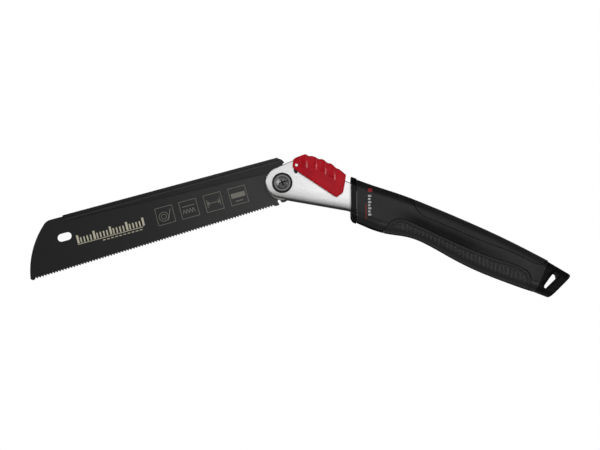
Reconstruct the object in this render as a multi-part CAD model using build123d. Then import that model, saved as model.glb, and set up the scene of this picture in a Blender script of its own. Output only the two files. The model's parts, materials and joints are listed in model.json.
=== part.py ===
"""Folding pull saw with a back-stiffened blade, a steel bracket and a two-material handle.

Every piece is drawn round the pivot axis and then placed:
  handle pieces in the handle frame, +X from the pivot to the butt, +Z to the top edge;
  blade pieces in the blade frame, -X from the pivot to the toe, -Z to the teeth.
Y is the thickness, -Y is the front. Millimetres.
"""

from build123d import *
import math
import os

# ---- driving dimensions -------------------------------------------------------------------------
HANDLE_DROP_DEG = 24.29         # handle axis below the horizontal at rest
BLADE_DROP_DEG = 15.51          # blade axis below the horizontal at rest
STRAIGHT_TURN_DEG = -(HANDLE_DROP_DEG + BLADE_DROP_DEG)
CLOSED_TURN_DEG = 180.0 + STRAIGHT_TURN_DEG
PIVOT_X, PIVOT_Z = -16.414, 108.710   # the pivot axis in the row frame

BLADE_T = 0.9
TOOTH_PITCH = 2.8
TOOTH_DEPTH = 1.7
TEETH_START = (12.5, -18.6)     # heel end of the tooth line, along the blade and up
TEETH_END = (250.5, -26.0)      # toe end
SPINE_T = 0.85                  # sheet thickness of the folded spine
SPINE_TOP = 26.8
SPINE_END_X = 210.5
HANG_SLOT_X, HANG_SLOT_Z = 213.7, 6.1
HANG_SLOT_L, HANG_SLOT_W = 13.5, 7.6

NOSE_R = 16.2                   # round nose of the bracket
CHEEK_IN, CHEEK_OUT = 4.3, 6.5  # the two bracket cheeks, from the blade's middle plane
BRACKET_TOP = 26.3
BRACKET_END = 112.0
TANG_R = 15.4
TANG_T = 1.05                   # each tang plate
SLEEVE_R = 5.5
SCREW_R = 4.0
RUN_GAP = 0.05                  # radial gap of a running fit
RING_R, RING_IN_R, DOME_R = 9.8, 7.9, 6.3

HINGE_X, HINGE_Z, HINGE_R = 30.0, 22.2, 1.6
LOCK_X, LOCK_Z, LOCK_R = 6.73, 17.82, 1.2
LOCK_DROP_DEG = 6.8             # from riding clear of the lobes to seated beside them
LOCK_OVER_DEG = 1.2             # over-travel past clear
LOCK_GAP = 0.15
YOKE_IN, YOKE_OUT = 6.8, 7.9
COVER_OUT = 9.9
LOBE_X, LOBE_Z, LOBE_R = 6.7, 16.6, 2.1     # the bare end of each yoke plate round the lock pin

NOTCH_STEPS = 6                 # pin places cut for one notch
STOP_X, STOP_Z, STOP_R = 8.1, 22.5, 1.3     # the pin that the heel meets when straight
SPRING_X, SPRING_FOOT, SPRING_R, SPRING_WIRE = 45.0, 24.6, 2.3, 0.35
COVER_TOP_IN = 30.2             # the cover's inner roof over the spring
RIVET_X, RIVET_Z, RIVET_R = 5.5, 20.7, 1.3
# each scallop of the cover's top: where it starts, its bottom and where it ends
SCALLOPS = [((9.2, 34.5), (12.2, 34.0), (15.0, 35.2)), ((19.2, 35.7), (22.2, 35.2), (25.0, 36.4)),
            ((28.4, 36.2), (31.6, 35.2), (34.4, 35.9)), ((38.0, 35.3), (41.2, 34.0), (44.0, 34.2))]

SLOT_HALF = 3.3                 # blade slot cut in the shells
LINER_T = 1.1
SLOT_TOP = 29.4
SLOT_END = 257.6
SKIN = 1.8                      # depth of the soft grip pads
PAD_GAP = 0.5                   # groove round each pad
SCREW_SPOTS = [(80.0, 25.2), (104.0, 25.4)]     # the two shell screws
# along the handle, bottom edge, top edge, half width
STATIONS = [
    (50.0, -6.2, 31.4, 12.2), (74.0, -5.5, 33.5, 12.4), (92.0, -4.8, 35.2, 12.7), (109.0, -2.8, 36.8, 12.9),
    (124.0, 1.3, 37.7, 12.7), (142.0, 3.9, 38.3, 12.5), (160.0, 2.9, 38.6, 12.7), (180.0, 1.0, 38.7, 13.0),
    (203.0, 0.1, 38.5, 13.0), (228.0, 1.0, 37.6, 12.9), (262.0, 3.9, 35.5, 12.4),
]
BORDER_INSET, BORDER_W, BORDER_DEPTH = 2.2, 0.7, 0.5    # fine groove inside the lower pad's edge
COLLAR_FACE = (64.7, 15.8)      # a point on the collar's front face
COLLAR_LEN = 5.6
HOLE_MOUTH = [(263.0, 8.4), (269.0, 8.4), (275.6, 25.6), (273.4, 28.6), (267.2, 28.6), (261.0, 19.0),
              (261.0, 12.4)]
HOLE_THROAT = [(265.8, 9.4), (268.6, 9.2), (275.1, 25.2), (273.2, 27.9), (269.4, 27.9), (267.4, 21.0),
               (265.4, 11.6)]
HOLE_THROAT_HALF = 9.0
GASKET_IN = 0.4                 # how far the gasket lies below the shells
COLLAR_PROUD = 0.8              # how far the collar stands above the shells
COLLAR_ROUND = 0.7
CAP_X = 259.9
CAP_HALF = 12.0
CAP_CORNER_R = 8.8
BUTT_FOOT = (275.1, 4.4)           # lower corner of the slanted butt
BUTT_TILT_DEG = 21.5
NODES = {}


# ---- helpers ------------------------------------------------------------------------------------
def outline(*edges):
    """A face in the XZ plane from joined edges."""
    return make_face(Plane.XZ * (Curve() + list(edges)))


def polygon(points):
    """A face in the XZ plane from corner points."""
    return make_face(Plane.XZ * Polyline(*points, close=True))


def slab(face, y_low, y_high):
    """The XZ face made solid between two planes across the thickness."""
    return Pos(0, y_high, 0) * extrude(face, amount=y_high - y_low, dir=(0, -1, 0))


def rod(x, z, radius, y_low, y_high):
    """A cylinder along the thickness."""
    return Pos(x, (y_low + y_high) / 2, z) * Rot(90, 0, 0) * Cylinder(radius, y_high - y_low)


def ring(x, z, outer, inner, y_low, y_high):
    """A flat ring along the thickness."""
    return rod(x, z, outer, y_low, y_high) - rod(x, z, inner, y_low - 1, y_high + 1)


def box(x0, x1, y0, y1, z0, z1):
    """A box from its six limits."""
    return Pos((x0 + x1) / 2, (y0 + y1) / 2, (z0 + z1) / 2) * Box(x1 - x0, y1 - y0, z1 - z0)


def mirrored(solid):
    """The same piece on the other side of the blade's middle plane."""
    return mirror(solid, about=Plane.XZ)


def in_handle(solid):
    """From the handle frame to the row frame."""
    return Pos(PIVOT_X, 0, PIVOT_Z) * Rot(0, HANDLE_DROP_DEG, 0) * solid


def in_blade(solid):
    """From the blade frame to the row frame."""
    return Pos(PIVOT_X, 0, PIVOT_Z) * Rot(0, -BLADE_DROP_DEG, 0) * solid


def keep(name, solid, place):
    """Put a finished piece in its place and remember it by name."""
    NODES[name] = place(solid)


def blade_point(along, up):
    """Blade coordinates, counted towards the toe, as a point in the blade frame."""
    return (-along, up)


# ---- lock geometry ------------------------------------------------------------------------------

def lock_pin_at(lever_deg):
    """The lock pin's centre in the handle frame when the lever is turned, positive pressed down."""
    a = math.radians(lever_deg)
    dx, dz = LOCK_X - HINGE_X, LOCK_Z - HINGE_Z
    return (HINGE_X + dx * math.cos(a) + dz * math.sin(a),
            HINGE_Z + dz * math.cos(a) - dx * math.sin(a))


def lock_track():
    """The ring sector that the riding pin sweeps, seen from the blade."""
    half = 4.0
    reach = math.hypot(*lock_pin_at(0))
    outer = math.hypot(*lock_pin_at(LOCK_OVER_DEG)) + LOCK_R + LOCK_GAP
    track = ring(0, 0, outer, reach - LOCK_R - LOCK_GAP, -half, half)
    # from the straight position round the back of the tang to the closed one
    pin_deg = math.degrees(math.atan2(LOCK_Z, LOCK_X))
    sweep = CLOSED_TURN_DEG - STRAIGHT_TURN_DEG
    corners = [(0, 0)]
    for index in range(7):
        a = math.radians(pin_deg - sweep * index / 6)
        corners.append((60 * math.cos(a), 60 * math.sin(a)))
    return track & slab(polygon(corners), -half, half)


def lock_notches():
    """Pin-shaped notches at the straight, angled and closed positions, in the blade frame."""
    half = 4.0
    rest_turn = HANDLE_DROP_DEG + BLADE_DROP_DEG
    cuts = Part()
    for turn in (STRAIGHT_TURN_DEG, 0.0, CLOSED_TURN_DEG):
        for index in range(NOTCH_STEPS + 1):
            lever = -LOCK_DROP_DEG + (LOCK_DROP_DEG + LOCK_OVER_DEG) * index / NOTCH_STEPS
            x, z = lock_pin_at(lever)
            pin = rod(x, z, LOCK_R + LOCK_GAP, -half, half)
            cuts += Rot(0, rest_turn + turn, 0) * pin
    return cuts


# ---- blade --------------------------------------------------------------------------------------
def tooth_cutters():
    """The triangular gullets along the tooth line, as one tool."""
    x0, z0 = TEETH_START
    x1, z1 = TEETH_END
    length = math.hypot(x1 - x0, z1 - z0)
    count = int(length / TOOTH_PITCH)
    ux, uz = (x1 - x0) / length, (z1 - z0) / length
    points = []
    for index in range(count):
        along = index * TOOTH_PITCH
        valley = along + TOOTH_PITCH * 0.62
        points.append((x0 + ux * along, z0 + uz * along))
        points.append((x0 + ux * valley - uz * TOOTH_DEPTH, z0 + uz * valley + ux * TOOTH_DEPTH))
    points.append((x0 + ux * count * TOOTH_PITCH, z0 + uz * count * TOOTH_PITCH))
    points.append((points[-1][0], points[-1][1] - 4))
    points.append((x0, z0 - 4))
    return slab(polygon([blade_point(*p) for p in points]), -2, 2)


def plate_outline():
    """The blade plate with its curved toe, heel hook and rounded upper heel."""
    toe_foot, toe_mid, toe_head = (254.2, -24.0), (248.0, -2.4), (229.6, 23.4)
    edges = [
        ThreePointArc(*[blade_point(*p) for p in (toe_foot, toe_mid, toe_head)]),
        ThreePointArc(*[blade_point(*p) for p in (toe_head, (226.7, 25.2), (222.6, 25.9))]),
        Line(blade_point(222.6, 25.9), blade_point(-1.5, 25.4)),
        ThreePointArc(blade_point(-1.5, 25.4), blade_point(-5.4, 23.6), blade_point(-7.3, 19.0)),
        Line(blade_point(-7.3, 19.0), blade_point(-9.2, 15.6)),
        Line(blade_point(-9.2, 15.6), blade_point(-12.4, 12.6)),
        Line(blade_point(-12.4, 12.6), blade_point(-9.0, -8.0)),
        Line(blade_point(-9.0, -8.0), blade_point(-1.0, -16.4)),
        Line(blade_point(-1.0, -16.4), blade_point(2.6, -17.5)),
        Line(blade_point(2.6, -17.5), blade_point(10.2, -19.0)),
        Line(blade_point(10.2, -19.0), blade_point(*TEETH_START)),
        Line(blade_point(*TEETH_START), blade_point(*TEETH_END)),
        ThreePointArc(blade_point(*TEETH_END), blade_point(253.4, -25.6), blade_point(254.2, -24.0)),
    ]
    return outline(*edges)


def hang_slot(y_low, y_high):
    """The oblong hang slot, along the blade."""
    body = HANG_SLOT_L - HANG_SLOT_W
    x, z, half = -HANG_SLOT_X, HANG_SLOT_Z, HANG_SLOT_W / 2
    slot = box(x - body / 2, x + body / 2, y_low, y_high, z - half, z + half)
    for side in (-1, 1):
        slot += rod(x + side * body / 2, z, half, y_low, y_high)
    return slot


def make_blade(clear):
    """Plate, spine, tang plates, rivets and thrust washers: everything that swings."""
    half = BLADE_T / 2
    rivet_spots = [(12.0 * math.cos(a), 12.0 * math.sin(a))
                   for a in (math.radians(-70), math.radians(0), math.radians(70))]
    bore = rod(0, 0, SLEEVE_R + RUN_GAP, -9, 9)
    holes = Part()
    for x, z in rivet_spots:
        holes += rod(-x, z, 1.2, -9, 9)
    heel_rivet_x, heel_rivet_z = blade_point(-2.6, 22.3)
    heel_hole = rod(heel_rivet_x, heel_rivet_z, 1.1, -9, 9)

    disc = rod(0, 0, TANG_R, -half, half)
    plate = slab(plate_outline(), -half, half) + disc
    plate = plate - tooth_cutters() - hang_slot(-3, 3) - clear - bore - holes - heel_hole
    keep("saw_blade", plate, in_blade)

    flange_y = half + SPINE_T
    lower = [(-5.6, 14.0), (14.3, 14.3), (SPINE_END_X + 2.0, 21.6)]
    upper = [(SPINE_END_X, SPINE_TOP), (-1.6, SPINE_TOP - 0.4), (-5.6, 23.0)]
    flange = slab(polygon([blade_point(*p) for p in lower + upper]), -flange_y, flange_y)
    flange = flange - slab(plate_outline(), -half, half)
    crease = [(SPINE_END_X + 5, SPINE_TOP - 2.7), (-8, SPINE_TOP - 3.1),
              (-8, SPINE_TOP - 3.5), (SPINE_END_X + 5, SPINE_TOP - 3.1)]
    for low, high in ((-flange_y - 1, -flange_y + 0.25), (flange_y - 0.25, flange_y + 1)):
        flange -= slab(polygon([blade_point(*p) for p in crease]), low, high)
    flange = flange - rod(0, 0, TANG_R + 0.2, -4, 4) - clear - heel_hole
    keep("blade_spine", flange, in_blade)

    tang = rod(0, 0, TANG_R, half, half + TANG_T) - clear - bore - holes
    keep("tang_plate_rear", tang, in_blade)
    keep("tang_plate_front", mirrored(tang), in_blade)

    rivets = [rod(-x, z, 1.2, -half - TANG_T, half + TANG_T) for x, z in rivet_spots]
    keep("tang_rivets", Compound(children=rivets), in_blade)
    heel = rod(heel_rivet_x, heel_rivet_z, 1.1, -flange_y - 0.35, flange_y + 0.35)
    keep("spine_rivet", heel, in_blade)

    y0 = half + TANG_T
    washer = ring(0, 0, 9.4, SLEEVE_R + 0.1, y0, CHEEK_IN - 0.1)
    keep("thrust_washer_rear", washer, in_blade)
    keep("thrust_washer_front", mirrored(washer), in_blade)


# ---- bracket ------------------------------------------------------------------------------------
def cheek_face():
    """One bracket cheek: round nose, straight edges, and a tang that runs into the handle."""
    up = math.radians(137)
    down = math.radians(-76.4)
    nose_top = (NOSE_R * math.cos(up), NOSE_R * math.sin(up))
    nose_low = (NOSE_R * math.cos(down) - 3.0, NOSE_R * math.sin(down) + 1.6)
    shoulder = (0.6, 25.0)
    edges = [
        ThreePointArc(nose_top, (-NOSE_R, 0), nose_low),
        Line(nose_low, (68.4, 3.0)),
        Line((68.4, 3.0), (BRACKET_END, 9.5)),
        Line((BRACKET_END, 9.5), (BRACKET_END, BRACKET_TOP + 1.2)),
        Line((BRACKET_END, BRACKET_TOP + 1.2), (8.0, BRACKET_TOP)),
        Line((8.0, BRACKET_TOP), shoulder),
        Line(shoulder, nose_top),
    ]
    return outline(*edges)


def lock_windows():
    """The openings in the cheeks that the lock pin travels in."""
    window = Part()
    for index in range(NOTCH_STEPS + 1):
        lever = -LOCK_DROP_DEG + (LOCK_DROP_DEG + LOCK_OVER_DEG) * index / NOTCH_STEPS
        x, z = lock_pin_at(lever)
        window += rod(x, z, LOCK_R + 0.3, -9, 9)
    return window


def make_bracket():
    """Cheeks, spacer, stop pin and hinge pin."""
    holes = rod(0, 0, SLEEVE_R, -9, 9) + rod(HINGE_X, HINGE_Z, HINGE_R, -9, 9)
    holes += rod(STOP_X, STOP_Z, STOP_R, -9, 9) + lock_windows()
    for x, z in SCREW_SPOTS:
        holes += rod(x, z, 1.6, -9, 9)
    cheek = slab(cheek_face(), CHEEK_IN, CHEEK_OUT)
    outer = cheek.faces().sort_by(Axis.Y)[-1].edges().filter_by(
        lambda e: e.center().X < 66)
    cheek = fillet(outer, 0.9)
    cheek = cheek - holes
    keep("bracket_cheek_rear", cheek, in_handle)
    keep("bracket_cheek_front", mirrored(cheek), in_handle)

    spacer = slab(polygon([(38, 23.0), (BRACKET_END, 22.8), (BRACKET_END, 27.4), (38, 26.6)]),
                  -CHEEK_IN, CHEEK_IN)
    for x, z in SCREW_SPOTS:
        spacer -= rod(x, z, 1.6, -9, 9)
    spacer -= Pos(SPRING_X, 0, SPRING_FOOT + 3) * Cylinder(SPRING_R + 0.7, 6)
    keep("bracket_spacer", spacer, in_handle)
    keep("hinge_pin", rod(HINGE_X, HINGE_Z, HINGE_R, -YOKE_OUT + 0.1, YOKE_OUT - 0.1), in_handle)
    keep("stop_pin", rod(STOP_X, STOP_Z, STOP_R, -CHEEK_OUT, CHEEK_OUT), in_handle)


def make_pivot():
    """Pivot sleeve, domed cross-head screw, nut and the rings on both sides."""
    sleeve = ring(0, 0, SLEEVE_R, SCREW_R, -CHEEK_OUT, CHEEK_OUT)
    keep("pivot_sleeve", sleeve, in_handle)
    front = -CHEEK_OUT
    trim = ring(0, 0, RING_R, RING_IN_R, front - 1.7, front)
    trim = fillet(trim.edges().filter_by(GeomType.CIRCLE).group_by(Axis.Y)[0], 0.45)
    keep("pivot_ring_front", trim, in_handle)
    keep("pivot_ring_rear", mirrored(trim), in_handle)
    washer = ring(0, 0, RING_IN_R, SCREW_R, front - 1.1, front)
    keep("pivot_washer_front", washer, in_handle)
    keep("pivot_washer_rear", mirrored(washer), in_handle)

    seat = front - 1.1
    dome_h = 2.4
    sphere_r = (DOME_R ** 2 + dome_h ** 2) / (2 * dome_h)
    dome = Pos(0, seat - 0.5 - dome_h + sphere_r, 0) * Sphere(sphere_r)
    head = dome & rod(0, 0, DOME_R, seat - 0.5 - dome_h - 1, seat - 0.5)
    head += rod(0, 0, DOME_R, seat - 0.5, seat)
    screw = head + rod(0, 0, SCREW_R, seat, CHEEK_OUT + 1.0)
    recess = Part()
    for turn in (40, 130):
        recess += Rot(0, turn, 0) * box(-3.3, 3.3, seat - 4, seat - 0.4, -0.6, 0.6)
    keep("pivot_screw", screw - recess, in_handle)

    nut_top = CHEEK_OUT + 1.1 + 2.6
    nut = rod(0, 0, DOME_R, CHEEK_OUT + 1.1, nut_top)
    nut = chamfer(nut.edges().group_by(Axis.Y)[-1], 0.6)
    keep("pivot_nut", nut, in_handle)


# ---- lock lever ---------------------------------------------------------------------------------


def cover_face():
    """Side view of the red cover: scalloped top and a straight skirt that leaves the lock lobe bare."""
    edges = [Line((9.6, 15.9), (4.4, 17.0)), Line((4.4, 17.0), (2.1, 18.9)),
             Line((2.1, 18.9), (0.3, 24.7)), Line((0.3, 24.7), (1.7, 27.2)), Line((1.7, 27.2), (6.6, 32.4)),
             Line((6.6, 32.4), SCALLOPS[0][0])]
    for index, (first, bottom, last) in enumerate(SCALLOPS):
        edges.append(ThreePointArc(first, bottom, last))
        if index + 1 < len(SCALLOPS):
            edges.append(Line(last, SCALLOPS[index + 1][0]))
    edges += [Line(SCALLOPS[-1][2], (48.0, 33.1)), Line((48.0, 33.1), (52.5, 31.7)),
              Line((52.5, 31.7), (53.9, 27.0)), Line((53.9, 27.0), (56.8, 15.4)),
              Line((56.8, 15.4), (53.4, 9.2)), Line((53.4, 9.2), (50.8, 8.7)), Line((50.8, 8.7), (9.6, 15.9))]
    return outline(*edges)


def make_cover():
    """The red cover: a saddle over the bracket, open below and at both ends."""
    half = COVER_OUT
    body = slab(cover_face(), -half, half)
    body = chamfer(body.faces().sort_by(Axis.Y)[0].edges() + body.faces().sort_by(Axis.Y)[-1].edges(), 0.8)
    pocket = [(-3, 5), (-3, 28.6), (5, 29.6), (12, 31.2), (38, 32.4), (60, 27.5), (60, 5)]
    body -= slab(polygon(pocket), -YOKE_OUT, YOKE_OUT)
    tilt = Rot(0, -HANDLE_DROP_DEG, 0)
    for _, (x, z), _ in SCALLOPS:
        for side in (-1, 1):
            scoop = Pos(x - 2.6, side * (half + 2.9), z - 5.0) * tilt * Cylinder(3.9, 11.0)
            body -= scoop
    for side in (-1, 1):
        body -= rod(RIVET_X, RIVET_Z, RIVET_R, *sorted((side * YOKE_OUT, side * (half + 1))))
    keep("lever_cover", body, in_handle)


def make_lever():
    """Yoke, lock pin, rivets and return spring under the cover."""
    side_face = polygon([(4.2, 17.6), (9.8, 17.6), (14.0, 17.2), (51.0, 11.0), (52.0, 26.0), (38.0, 30.0),
                         (12.0, 29.8), (3.0, 24.5)])
    plate = slab(side_face, YOKE_IN, YOKE_OUT) + rod(LOBE_X, LOBE_Z, LOBE_R, YOKE_IN, YOKE_OUT)
    web = slab(polygon([(12.0, 28.6), (34.0, 28.9), (34.0, 30.1), (12.0, 29.8)]), -YOKE_IN, YOKE_IN)
    yoke = plate + mirrored(plate) + web
    yoke -= rod(HINGE_X, HINGE_Z, HINGE_R + RUN_GAP, -9, 9)
    yoke -= rod(LOCK_X, LOCK_Z, LOCK_R, -9, 9)
    yoke -= rod(RIVET_X, RIVET_Z, RIVET_R, -9, 9)
    keep("lock_yoke", yoke, in_handle)
    keep("lock_pin", rod(LOCK_X, LOCK_Z, LOCK_R, -YOKE_OUT, YOKE_OUT), in_handle)
    studs = []
    for side in (-1, 1):
        y_low, y_high = sorted((side * YOKE_IN, side * (COVER_OUT + 0.2)))
        studs.append(rod(RIVET_X, RIVET_Z, RIVET_R, y_low, y_high))
    keep("cover_rivets", Compound(children=studs), in_handle)

    height = COVER_TOP_IN - SPRING_FOOT - 2 * SPRING_WIRE - 0.4
    path = Helix(pitch=height / 5, height=height, radius=SPRING_R)
    wire = Plane(origin=path @ 0, z_dir=path % 0) * Circle(SPRING_WIRE)
    coil = sweep(wire, path=path, is_frenet=True)
    keep("lever_spring", Pos(SPRING_X, 0, SPRING_FOOT + SPRING_WIRE + 0.1) * coil, in_handle)


# ---- handle -------------------------------------------------------------------------------------


def handle_form(inset):
    """The handle's outer form, or the same form shrunk by an inset for the core under the pads."""
    sections = []
    for x, low, high, half in STATIONS:
        width, height = 2 * (half - inset), high - low - 2 * inset
        plane = Plane(origin=(x, 0, (low + high) / 2), x_dir=(0, 1, 0), z_dir=(1, 0, 0))
        sections.append(plane * RectangleRounded(width, height, 9.6 - inset))
    return loft(sections)


def collar_plane(offset):
    """The tilted plane of the collar's front face, or one behind it."""
    a = math.radians(HANDLE_DROP_DEG)
    normal = (math.cos(a), 0, math.sin(a))
    x, z = COLLAR_FACE
    return Plane(origin=(x + normal[0] * offset, 0, z + normal[2] * offset), z_dir=normal)


def pad_region(top_side, grow):
    """The upper or lower grip pad's region, grown by a gap."""
    if top_side:
        pts = [(121.4 - grow, 48), (122.4 - grow, 34.0), (125.4 - grow, 29.6 - grow), (131.0, 26.4 - grow),
               (146.0, 25.2 - grow), (199.0, 26.0 - grow), (238.0, 27.2 - grow), (247.0, 26.6 - grow),
               (254.4 + grow, 28.4 - grow), (257.6 + grow, 32.4), (258.2 + grow, 48)]
    else:
        pts = [(107.4 - grow, -12), (108.4 - grow, 3.0), (111.4 - grow, 9.0 + grow), (116.4, 12.9 + grow),
               (125.0, 14.4 + grow), (146.0, 14.2 + grow), (188.0, 13.6 + grow), (220.0, 16.0 + grow),
               (239.0, 17.2 + grow), (248.6 + grow, 14.2 + grow), (252.2 + grow, 7.0), (252.8 + grow, -12)]
    body = Spline(*pts)
    return slab(outline(body, Line(pts[-1], pts[0])), -20, 20)


def collar_side():
    """Side view of the collar, with its front lower corner well rounded."""
    edges = [Line((40, 60), (100, 60)), Line((100, 60), (100, -20)), Line((100, -20), (78.0, -20)),
             Line((78.0, -20), (78.0, -6.2)), ThreePointArc((78.0, -6.2), (72.5, -1.6), (68.8, 6.2)),
             Line((68.8, 6.2), (40, 60))]
    return outline(*edges)


def make_handle():
    """Two shells, collar, grip pads, slot liner, end cap and screws."""
    form = handle_form(0.0)
    core = handle_form(SKIN)
    skin = form - core
    behind = collar_plane(COLLAR_LEN + 0.6)
    body = split(form, bisect_by=behind, keep=Keep.TOP)
    body -= box(CAP_X, 300, -20, 20, -30, 60)

    upper_pocket = skin & pad_region(True, PAD_GAP)
    lower_pocket = skin & pad_region(False, PAD_GAP)
    slot = box(40, SLOT_END, -SLOT_HALF, SLOT_HALF, -30, SLOT_TOP)
    tang_room = box(40, BRACKET_END + 0.2, -CHEEK_OUT, CHEEK_OUT, -30, BRACKET_TOP + 1.4)
    spacer_room = box(38, BRACKET_END, -CHEEK_OUT, CHEEK_OUT, 20.0, 27.4)
    shells = body - upper_pocket - lower_pocket - slot - tang_room - spacer_room
    spigot_hole = box(SLOT_END - 0.1, CAP_X + 1, -6, 6, 9, 29)
    shells -= spigot_hole
    screw_cut = Part()
    for x, z in SCREW_SPOTS:
        screw_cut += rod(x, z, 1.6, -9, 20) + rod(x, z, 3.0, 10.6, 20)
    shells -= screw_cut
    keep("handle_shell_rear", split(shells, bisect_by=Plane.XZ, keep=Keep.BOTTOM), in_handle)
    keep("handle_shell_front", split(shells, bisect_by=Plane.XZ, keep=Keep.TOP), in_handle)

    keep("upper_grip", skin & pad_region(True, 0.0), in_handle)
    lower = (skin & pad_region(False, 0.0)) - box(40, 280, -SLOT_HALF, SLOT_HALF, -30, 40)
    border = (form - handle_form(BORDER_DEPTH)) & (pad_region(False, -BORDER_INSET)
                                                   - pad_region(False, -BORDER_INSET - BORDER_W))
    lower -= border
    keep("lower_grip_rear", split(lower, bisect_by=Plane.XZ, keep=Keep.BOTTOM), in_handle)
    keep("lower_grip_front", split(lower, bisect_by=Plane.XZ, keep=Keep.TOP), in_handle)

    screws = []
    for x, z in SCREW_SPOTS:
        screw = rod(x, z, 1.6, -9, 11) + rod(x, z, 2.9, 10.6, 12.2)
        screw -= box(x - 2, x + 2, 11.4, 13, z - 0.4, z + 0.4) + box(x - 0.4, x + 0.4, 11.4, 13, z - 2, z + 2)
        screws.append(screw)
    keep("shell_screws", Compound(children=screws), in_handle)

    liner = box(BRACKET_END + 0.4, SLOT_END - 0.2, -SLOT_HALF, SLOT_HALF, 6.0, SLOT_TOP)
    liner -= box(0, SLOT_END - 1.4, -SLOT_HALF + LINER_T, SLOT_HALF - LINER_T, -10, SLOT_TOP - LINER_T)
    keep("slot_liner", liner, in_handle)

    front, rear = collar_plane(0.0), collar_plane(COLLAR_LEN)
    grown = handle_form(-COLLAR_PROUD)
    collar = split(split(grown, bisect_by=front, keep=Keep.TOP), bisect_by=rear, keep=Keep.BOTTOM)
    collar &= slab(collar_side(), -20, 20)
    lean = front.z_dir
    rims = [edge for edge in collar.edges()
            if any(abs((edge.center() - plane.origin).dot(lean)) < 0.02 for plane in (front, rear))]
    collar = fillet(rims, COLLAR_ROUND)
    collar = collar - box(40, 90, -CHEEK_OUT, CHEEK_OUT, -30, BRACKET_TOP + 1.4)
    keep("front_collar", collar, in_handle)
    tie = split(split(handle_form(GASKET_IN), bisect_by=rear, keep=Keep.TOP), bisect_by=behind, keep=Keep.BOTTOM)
    tie = tie - box(40, 90, -CHEEK_OUT, CHEEK_OUT, -30, BRACKET_TOP + 1.4)
    keep("collar_gasket", tie, in_handle)


def lanyard_hole():
    """The lanyard hole: wide mouths on both sides that flare in to a narrower slit."""
    outer = make_face(Plane.XZ * FilletPolyline(*HOLE_MOUTH, radius=1.7, close=True))
    inner = make_face(Plane.XZ * FilletPolyline(*HOLE_THROAT, radius=0.9, close=True))
    outside, inside = CAP_HALF + 0.6, HOLE_THROAT_HALF
    funnel = loft([Pos(0, -outside, 0) * outer, Pos(0, -inside, 0) * inner], ruled=True)
    throat = extrude(Pos(0, -inside, 0) * inner, amount=2 * inside, dir=(0, 1, 0))
    return funnel + throat + mirrored(funnel)


def make_cap():
    """The hard end cap with its lanyard hole and the spigot that joins the shells."""
    sections = []
    for x, low, high in ((CAP_X, 3.7, 34.7), (292.0, 5.4, 30.7)):
        plane = Plane(origin=(x, 0, (low + high) / 2), x_dir=(0, 1, 0), z_dir=(1, 0, 0))
        sections.append(plane * RectangleRounded(2 * CAP_HALF, high - low, CAP_CORNER_R))
    form = loft(sections, ruled=True)
    a = math.radians(BUTT_TILT_DEG)
    butt = Plane(origin=(BUTT_FOOT[0], 0, BUTT_FOOT[1]), z_dir=(math.cos(a), 0, -math.sin(a)))
    cap = split(form, bisect_by=butt, keep=Keep.BOTTOM)
    cap = fillet(cap.faces().sort_by(Axis.X)[-1].edges(), 2.2)
    cap -= lanyard_hole()
    cap += box(SLOT_END, CAP_X, -5.9, 5.9, 9.2, 28.8)
    keep("end_cap", cap, in_handle)


def main():
    """Build every piece and write one STEP file for each."""
    make_blade(lock_track() + lock_notches())
    make_bracket()
    make_pivot()
    make_cover()
    make_lever()
    make_handle()
    make_cap()
    os.makedirs("parts", exist_ok=True)
    for name, solid in NODES.items():
        export_step(solid, f"parts/{name}.step")
        print(name, round(solid.volume, 1))
    low = [min(tuple(s.bounding_box().min)[i] for s in NODES.values()) for i in range(3)]
    high = [max(tuple(s.bounding_box().max)[i] for s in NODES.values()) for i in range(3)]
    print("box", [round(v, 3) for v in low], [round(v, 3) for v in high])


main()
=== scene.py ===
"""Folding pull saw: finishes, printed marks and fine grip detail, built round the fixed frame.

The frame gives every moving and fitted piece. This script dresses those pieces, replaces the ones
whose moulded form needs a finer surface, and sets a plain studio round them.
Blender's lengths are metres. A class that gives its own sizes in millimetres says so, and MM turns
them into metres.
"""

import json
import logging
import math
from dataclasses import dataclass
from enum import Enum

import bpy
from mathutils import Matrix, Vector


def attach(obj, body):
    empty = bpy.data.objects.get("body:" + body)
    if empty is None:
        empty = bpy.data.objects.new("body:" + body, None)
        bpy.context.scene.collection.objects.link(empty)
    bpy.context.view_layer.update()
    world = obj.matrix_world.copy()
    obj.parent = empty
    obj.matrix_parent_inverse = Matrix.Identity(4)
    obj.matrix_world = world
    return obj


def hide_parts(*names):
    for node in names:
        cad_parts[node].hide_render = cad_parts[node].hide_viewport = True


LOG = logging.getLogger("pull_saw")
MM = 0.001
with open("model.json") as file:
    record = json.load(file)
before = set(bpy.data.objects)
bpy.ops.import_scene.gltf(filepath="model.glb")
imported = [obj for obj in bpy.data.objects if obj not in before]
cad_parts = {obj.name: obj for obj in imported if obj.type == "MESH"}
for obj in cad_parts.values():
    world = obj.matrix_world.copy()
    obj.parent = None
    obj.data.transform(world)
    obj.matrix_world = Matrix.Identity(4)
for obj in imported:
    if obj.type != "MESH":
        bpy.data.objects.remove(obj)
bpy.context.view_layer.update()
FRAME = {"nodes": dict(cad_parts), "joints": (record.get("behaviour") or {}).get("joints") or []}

HANDLE_DROP = math.radians(24.29)
BLADE_DROP = math.radians(15.51)


def joint(name: str) -> dict:
    """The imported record's joint of that name.

    Args:
        name: The joint's name.

    Returns:
        The joint as the record holds it.
    """
    return next(j for j in FRAME["joints"] if j["name"] == name)


PIVOT = Vector(joint("blade_fold")["pos_m"])
TO_HANDLE = Matrix.Translation(PIVOT) @ Matrix.Rotation(HANDLE_DROP, 4, "Y")
TO_BLADE = Matrix.Translation(PIVOT) @ Matrix.Rotation(-BLADE_DROP, 4, "Y")


class Side(Enum):
    """The two sides of the saw across its thickness."""

    FRONT = -1
    REAR = 1


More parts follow.
